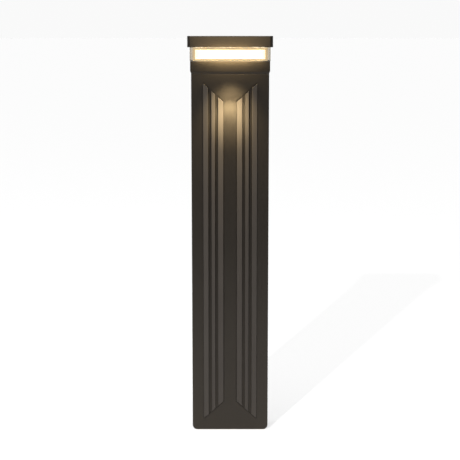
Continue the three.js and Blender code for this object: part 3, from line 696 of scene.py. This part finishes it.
def pan_screw(node, axis, shank=1.9 * MM, head=4.2 * MM, rise=2.2 * MM):
    """Low round-headed screw standing along one axis: a short upright side, then a dome."""
    low, high = span(node)
    middle = (low + high) / 2
    seat = middle.copy()
    seat[axis] = high[axis] - rise
    length = seat[axis] - low[axis]
    tip, flat_top = 0.4 * MM, 2.5 * MM
    rows = [(shank - tip, -length), *thread(shank, 0.25 * MM, tip - length, -0.1 * MM)]
    rows += [(head, 0), (head, rise * 0.4)]
    t = np.linspace(0.3, math.pi / 2, 6)
    rows += [(flat_top + (head - flat_top) * math.cos(a), rise * (0.4 + 0.6 * math.sin(a))) for a in t]
    socket_screw(node, rows, seat, axis, 1)


def tie_rod(node, low_thread=14 * MM, high_thread=11 * MM, runout=1 * MM):
    """Rod threaded at both ends, plain between."""
    low, high = span(node)
    middle = (low + high) / 2
    length = high[2] - low[2]
    radius = (high[0] - low[0]) / 2
    seat = (middle[0], middle[1], low[2])
    end = 0.6 * MM
    rows = [(radius - end, 0), *thread(radius, 0.3 * MM, end, low_thread), (radius, low_thread + runout)]
    rows += [(radius, length - high_thread - runout)]
    rows += thread(radius, 0.3 * MM, length - high_thread, length - end)
    rows += [(radius - end, length)]
    loops = turned_loops(rows, seat, 2, 1, 20)
    patches = [loft(loops), flat(loops[0]), flat(loops[-1])]
    settle(body_from(f"{node}_turned", patches), "stainless", [node])


def tie_nut(node):
    """Hexagon nut with its corners turned off a little at both faces."""
    low, high = span(node)
    middle = (low + high) / 2
    corner = max(high[0] - low[0], high[1] - low[1]) / 2
    ease = 0.35 * MM
    rows = [(corner - ease, low[2]), (corner, low[2] + ease), (corner, high[2] - ease),
            (corner - ease, high[2])]
    loops = [circle((middle[0], middle[1], z), radius, 2, 6) for radius, z in rows]
    mouths = [circle((middle[0], middle[1], z), ROD_HOLE, 2, 20) for z in (low[2], high[2])]
    patches = [loft(loops), flat(loops[0], [mouths[0]]), flat(loops[-1], [mouths[1]]), loft(mouths)]
    settle(body_from(f"{node}_formed", patches), "stainless", [node])


# ------------------------------------------------------------------ head
def rod_circles(z, radius):
    """A circle round each tie rod at one height."""
    return [circle((side * ROD_X, row * ROD_Y, z), radius, 2, 24) for _, side in SIDES for _, row in ROWS]


def collar():
    """Skirt that flares out over a small chamfer, deck with a gasket groove, spigot below."""
    foot = BODY_TOP + GAP
    top = COLLAR_HIGH[2]
    deck = top - DECK
    post = square_size(HALF_W, 1.2 * MM)
    band = square_size(COLLAR_HIGH[0], 1.4 * MM)
    inner_half = HALF_W - WALL - GAP
    spigot = (inner_half, FRONT + WALL + GAP, SHELL_BACK - LIP_THICKNESS - GAP, 0.6 * MM)
    hollow = inset(spigot, SPIGOT_WALL)
    groove_out = square_size(GROOVE_OUT, 1.0 * MM)
    groove_in = square_size(GROOVE_OUT - GROOVE_WIDTH, 0.6 * MM)
    edge = 0.7 * MM
    low = COLLAR_LOW[2]
    loops = [rounded(hollow, deck), rounded(hollow, low), rounded(spigot, low), rounded(spigot, foot)]
    loops += [rounded(post, foot), rounded(post, foot + CHAMFER_START), rounded(band, foot + CHAMFER_END)]
    loops += edge_rows(band, edge, top - edge, top)
    loops += [rounded(groove_out, top), rounded(groove_out, top - GROOVE_DEPTH)]
    loops += [rounded(groove_in, top - GROOVE_DEPTH), rounded(groove_in, top)]
    grommet_low, grommet_high = span("lead_grommet")
    lead_x = (grommet_low[0] + grommet_high[0]) / 2
    upper = [*rod_circles(top, ROD_HOLE), circle((lead_x, 0, top), LEAD_HOLE, 2, 32)]
    lower = [moved(hole, 2, deck) for hole in upper]
    patches = [loft(loops), flat(loops[-1], upper), flat(loops[0], lower)]
    patches += [loft([a, b]) for a, b in zip(upper, lower)]
    settle(body_from("collar_cast", patches), "bronze", ["collar"])


def cap():
    """Slab with rounded corners and a softened rim, hollow below, with bosses for the rods."""
    side = (CAP_HIGH[0], CAP_LOW[1], CAP_HIGH[1], CAP_CORNER)
    low, high = CAP_LOW[2], CAP_HIGH[2]
    roof = high - CAP_ROOF
    hollow = square_size(CAP_HOLLOW, 1.0 * MM)
    groove_out = square_size(GROOVE_OUT, 1.0 * MM)
    groove_in = square_size(GROOVE_OUT - GROOVE_WIDTH, 0.6 * MM)
    top_edge, low_edge = 1.3 * MM, 0.6 * MM
    loops = [rounded(hollow, roof, 8), rounded(hollow, low, 8)]
    loops += [rounded(groove_in, low, 8), rounded(groove_in, low + GROOVE_DEPTH, 8)]
    loops += [rounded(groove_out, low + GROOVE_DEPTH, 8), rounded(groove_out, low, 8)]
    t = np.linspace(math.pi / 2, 0, 5)
    loops += [rounded(inset(side, low_edge * (1 - math.cos(a))), low + low_edge * (1 - math.sin(a)), 8)
              for a in t]
    t = np.linspace(0, math.pi / 2, 6)
    loops += [rounded(inset(side, top_edge * (1 - math.cos(a))), high - top_edge * (1 - math.sin(a)), 8)
              for a in t]
    boss_low = low + BOSS_SHORT
    roots = rod_circles(roof, BOSS_RADIUS)
    patches = [loft(loops), flat(loops[-1]), flat(loops[0], roots)]
    for root, mouth in zip(roots, rod_circles(boss_low, ROD_HOLE)):
        blind = moved(mouth, 2, low + ROD_SOCKET)
        patches += [loft([root, moved(root, 2, boss_low), mouth, blind]), flat(blind)]
    settle(body_from("cap_cast", patches), "bronze", ["cap"])


def wall_ring(name, node, slot, outer, inner, low, high, edge):
    """Upright wall round an opening, with softened edges at the top and bottom."""
    loops = edge_rows(outer, edge, low + edge, low)[::-1] + edge_rows(outer, edge, high - edge, high)
    loops += [rounded(inner, high), rounded(inner, low)]
    settle(body_from(name, [loft(loops, ring=True)]), slot, [node])


def lamp():
    """Lens band, opal sheet and gaskets."""
    lens_out = square_size(LENS_HIGH[0], 1.6 * MM)
    wall_ring("lens_moulded", "lens", "clear_lens", lens_out, inset(lens_out, LENS_WALL),
              LENS_LOW[2], LENS_HIGH[2], 0.5 * MM)
    sheet = square_size(DIFFUSER_HIGH[0], 3.0 * MM)
    wall_ring("diffuser_sheet", "diffuser", "opal", sheet, inset(sheet, OPAL_WALL),
              DIFFUSER_LOW[2], DIFFUSER_HIGH[2], 0.3 * MM)
    for where in ("lower", "upper"):
        node = f"lens_gasket_{where}"
        low, high = span(node)
        out = square_size(high[0], 0.8 * MM)
        inner = inset(out, GROOVE_WIDTH - 2 * GAP)
        wall_ring(f"{node}_moulded", node, "rubber", out, inner, low[2], high[2], 0.4 * MM)


# ------------------------------------------------------------------ build
body_shell()
rear_cover()
for side_name, side in SIDES:
    for rib_name in RIB_LOW_SIDE:
        rib(rib_name, side_name, side)
    for (row_name, _), (y, z) in zip(ROWS, SIDE_SCREWS):
        side_screw(f"shell_screw_{row_name}_{side_name}", side, y, z)
    side_screw(f"collar_screw_{side_name}", side, *SIDE_SCREWS[2])
    for level in ("lower", "middle", "upper"):
        pan_screw(f"cover_screw_{level}_{side_name}", 1)
    pan_screw(f"tray_screw_{side_name}", 2)
    for row_name, _ in ROWS:
        tie_rod(f"tie_rod_{row_name}_{side_name}")
        tie_nut(f"tie_nut_{row_name}_{side_name}")
collar()
cap()
lamp()
CAD_SHAPES = {                # finish, and rounding in mm
    "base_frame": ("galvanised_steel", 0.6), "gear_tray": ("plain_aluminium", 0.3),
    "cord_clamp": ("gear_plastic", 0.6), "terminal_block": ("terminal_plastic", 0.5),
    "surge_protector": ("gear_plastic", 0.8), "led_driver": ("gear_plastic", 0.8),
    "lamp_connector": ("terminal_plastic", 0.5), "lamp_frame": ("lamp_frame", 0.3),
    "heat_sink": ("plain_aluminium", 0.3), "led_board_front": ("circuit_board", 0.15),
    "led_board_rear": ("circuit_board", 0.15), "earth_stud": ("brass", 0.3),
    "lead_grommet": ("rubber", 0.3), "lamp_lead": ("lead_sheath", 0),
    "surge_lead": ("lead_sheath", 0), "driver_lead": ("lead_sheath", 0),
}
for node, (slot, bevel) in CAD_SHAPES.items():
    settle(cad_copy(f"{node}_finished", node), slot, [node], bevel * MM)


# ------------------------------------------------------------------ camera, floor and light
EYE_HEIGHT = 0.802
EYE_DISTANCE = 2.438          # from the front of the post
PITCH = math.radians(9.012)
FOCAL = 96.27
SHIFT_X = -0.0003
WARM = (1.0, 0.80, 0.46)
GLOW = (1.0, 0.77, 0.40)


def add_camera():
    """Long lens level with the cap, tipped down a little at the middle of the post."""
    data = bpy.data.cameras.new("camera")
    data.lens = FOCAL
    data.sensor_width = 36
    data.shift_x = SHIFT_X
    data.clip_end = 400
    camera = bpy.data.objects.new("camera", data)
    camera.location = (0, FRONT - EYE_DISTANCE, EYE_HEIGHT)
    camera.rotation_euler = (math.pi / 2 - PITCH, 0, 0)
    bpy.context.scene.collection.objects.link(camera)
    bpy.context.scene.camera = camera


def add_light(name, kind, location, energy, colour=(1, 1, 1), aim=None, **settings):
    """Light of one kind, turned to its aim and hidden from the camera."""
    data = bpy.data.lights.new(name, kind)
    data.energy = energy
    data.color = colour
    for key, value in settings.items():
        setattr(data, key, value)
    light = bpy.data.objects.new(name, data)
    light.location = location
    if aim is not None:
        away = Vector(aim) - Vector(location)
        light.rotation_euler = away.to_track_quat("-Z", "Y").to_euler()
    light.visible_camera = False
    bpy.context.scene.collection.objects.link(light)


def add_floor(near=-1.25, far=300.0):
    """Pale floor that stops a little way in front of the post and runs far back behind it."""
    mesh = bpy.data.meshes.new("floor")
    corners = [(-far, near, 0), (far, near, 0), (far, far, 0), (-far, far, 0)]
    mesh.from_pydata(corners, [], [(0, 1, 2, 3)])
    floor = bpy.data.objects.new("floor", mesh)
    bpy.context.scene.collection.objects.link(floor)
    material, _, shader = node_material("pale_floor")
    shader.inputs["Base Color"].default_value = (0.85, 0.85, 0.85, 1)
    shader.inputs["Roughness"].default_value = 0.9
    shader.inputs["Specular IOR Level"].default_value = 0.0
    mesh.materials.append(material)


def add_world(seen, cast):
    """Plain backdrop: as bright as the far floor to the eye, dimmer as a source of light."""
    world = bpy.data.worlds.new("studio")
    world.use_nodes = True
    tree = world.node_tree
    rays = tree.nodes.new("ShaderNodeLightPath")
    level = levels(tree, rays.outputs["Is Camera Ray"], cast, seen, 0, 1)
    tree.links.new(level, tree.nodes["Background"].inputs["Strength"])
    tree.nodes["Background"].inputs["Color"].default_value = (1, 1, 1, 1)
    bpy.context.scene.world = world


def light_studio():
    """Even light from overhead, and a small lamp near the camera that throws the long shadow.

    The harder overhead light throws no shadow, so that the foot stays clear.
    """
    overhead = (0, 0, 4)
    add_light("overhead", "SUN", overhead, 2.15, angle=math.radians(1), use_shadow=False)
    add_light("overhead_soft", "SUN", overhead, 1.0, angle=math.radians(60))
    add_light("key", "POINT", (-1.026, FRONT - 2.793, 2.216), 170, shadow_soft_size=0.03)


def light_head():
    """Glow of the lens: strips down on the collar and up on the cap, and a wash on the cap's edge."""
    for length, low_power, high_power in ((0.13, 0.13, 0.06), (0.07, 0.11, 0.06)):
        strip = {"shape": "RECTANGLE", "size": length, "size_y": 0.003}
        add_light(f"lens_low_{length}", "AREA", (0, FRONT - 0.0105, 0.7575), low_power, GLOW,
                  aim=(0, FRONT, 0.745), **strip)
        add_light(f"lens_high_{length}", "AREA", (0, FRONT - 0.0135, 0.7710), high_power, GLOW,
                  aim=(0, FRONT - 0.007, 0.785), **strip)
    for x in (-0.06, -0.02, 0.02, 0.06):
        add_light(f"cap_wash_{x}", "POINT", (x, FRONT - 0.062, 0.80), 0.054, WARM, shadow_soft_size=0.03)


def light_face():
    """Pool of warm light on the face below the collar, from two spots at different heights."""
    add_light("face_pool", "SPOT", (0, FRONT - 0.10, 0.682), 2.05, WARM, aim=(0, FRONT, 0.632),
              spot_size=math.radians(48), spot_blend=1.0, shadow_soft_size=0.006)
    add_light("rib_pool", "SPOT", (0, FRONT - 0.06, 0.728), 3.7, WARM, aim=(0, FRONT, 0.619),
              spot_size=math.radians(80), spot_blend=1.0, shadow_soft_size=0.012)


scene = bpy.context.scene
scene.view_settings.view_transform = "Standard"
scene.view_settings.look = "None"
add_camera()
add_floor()
add_world(seen=0.95, cast=0.14)
light_studio()
light_head()
light_face()
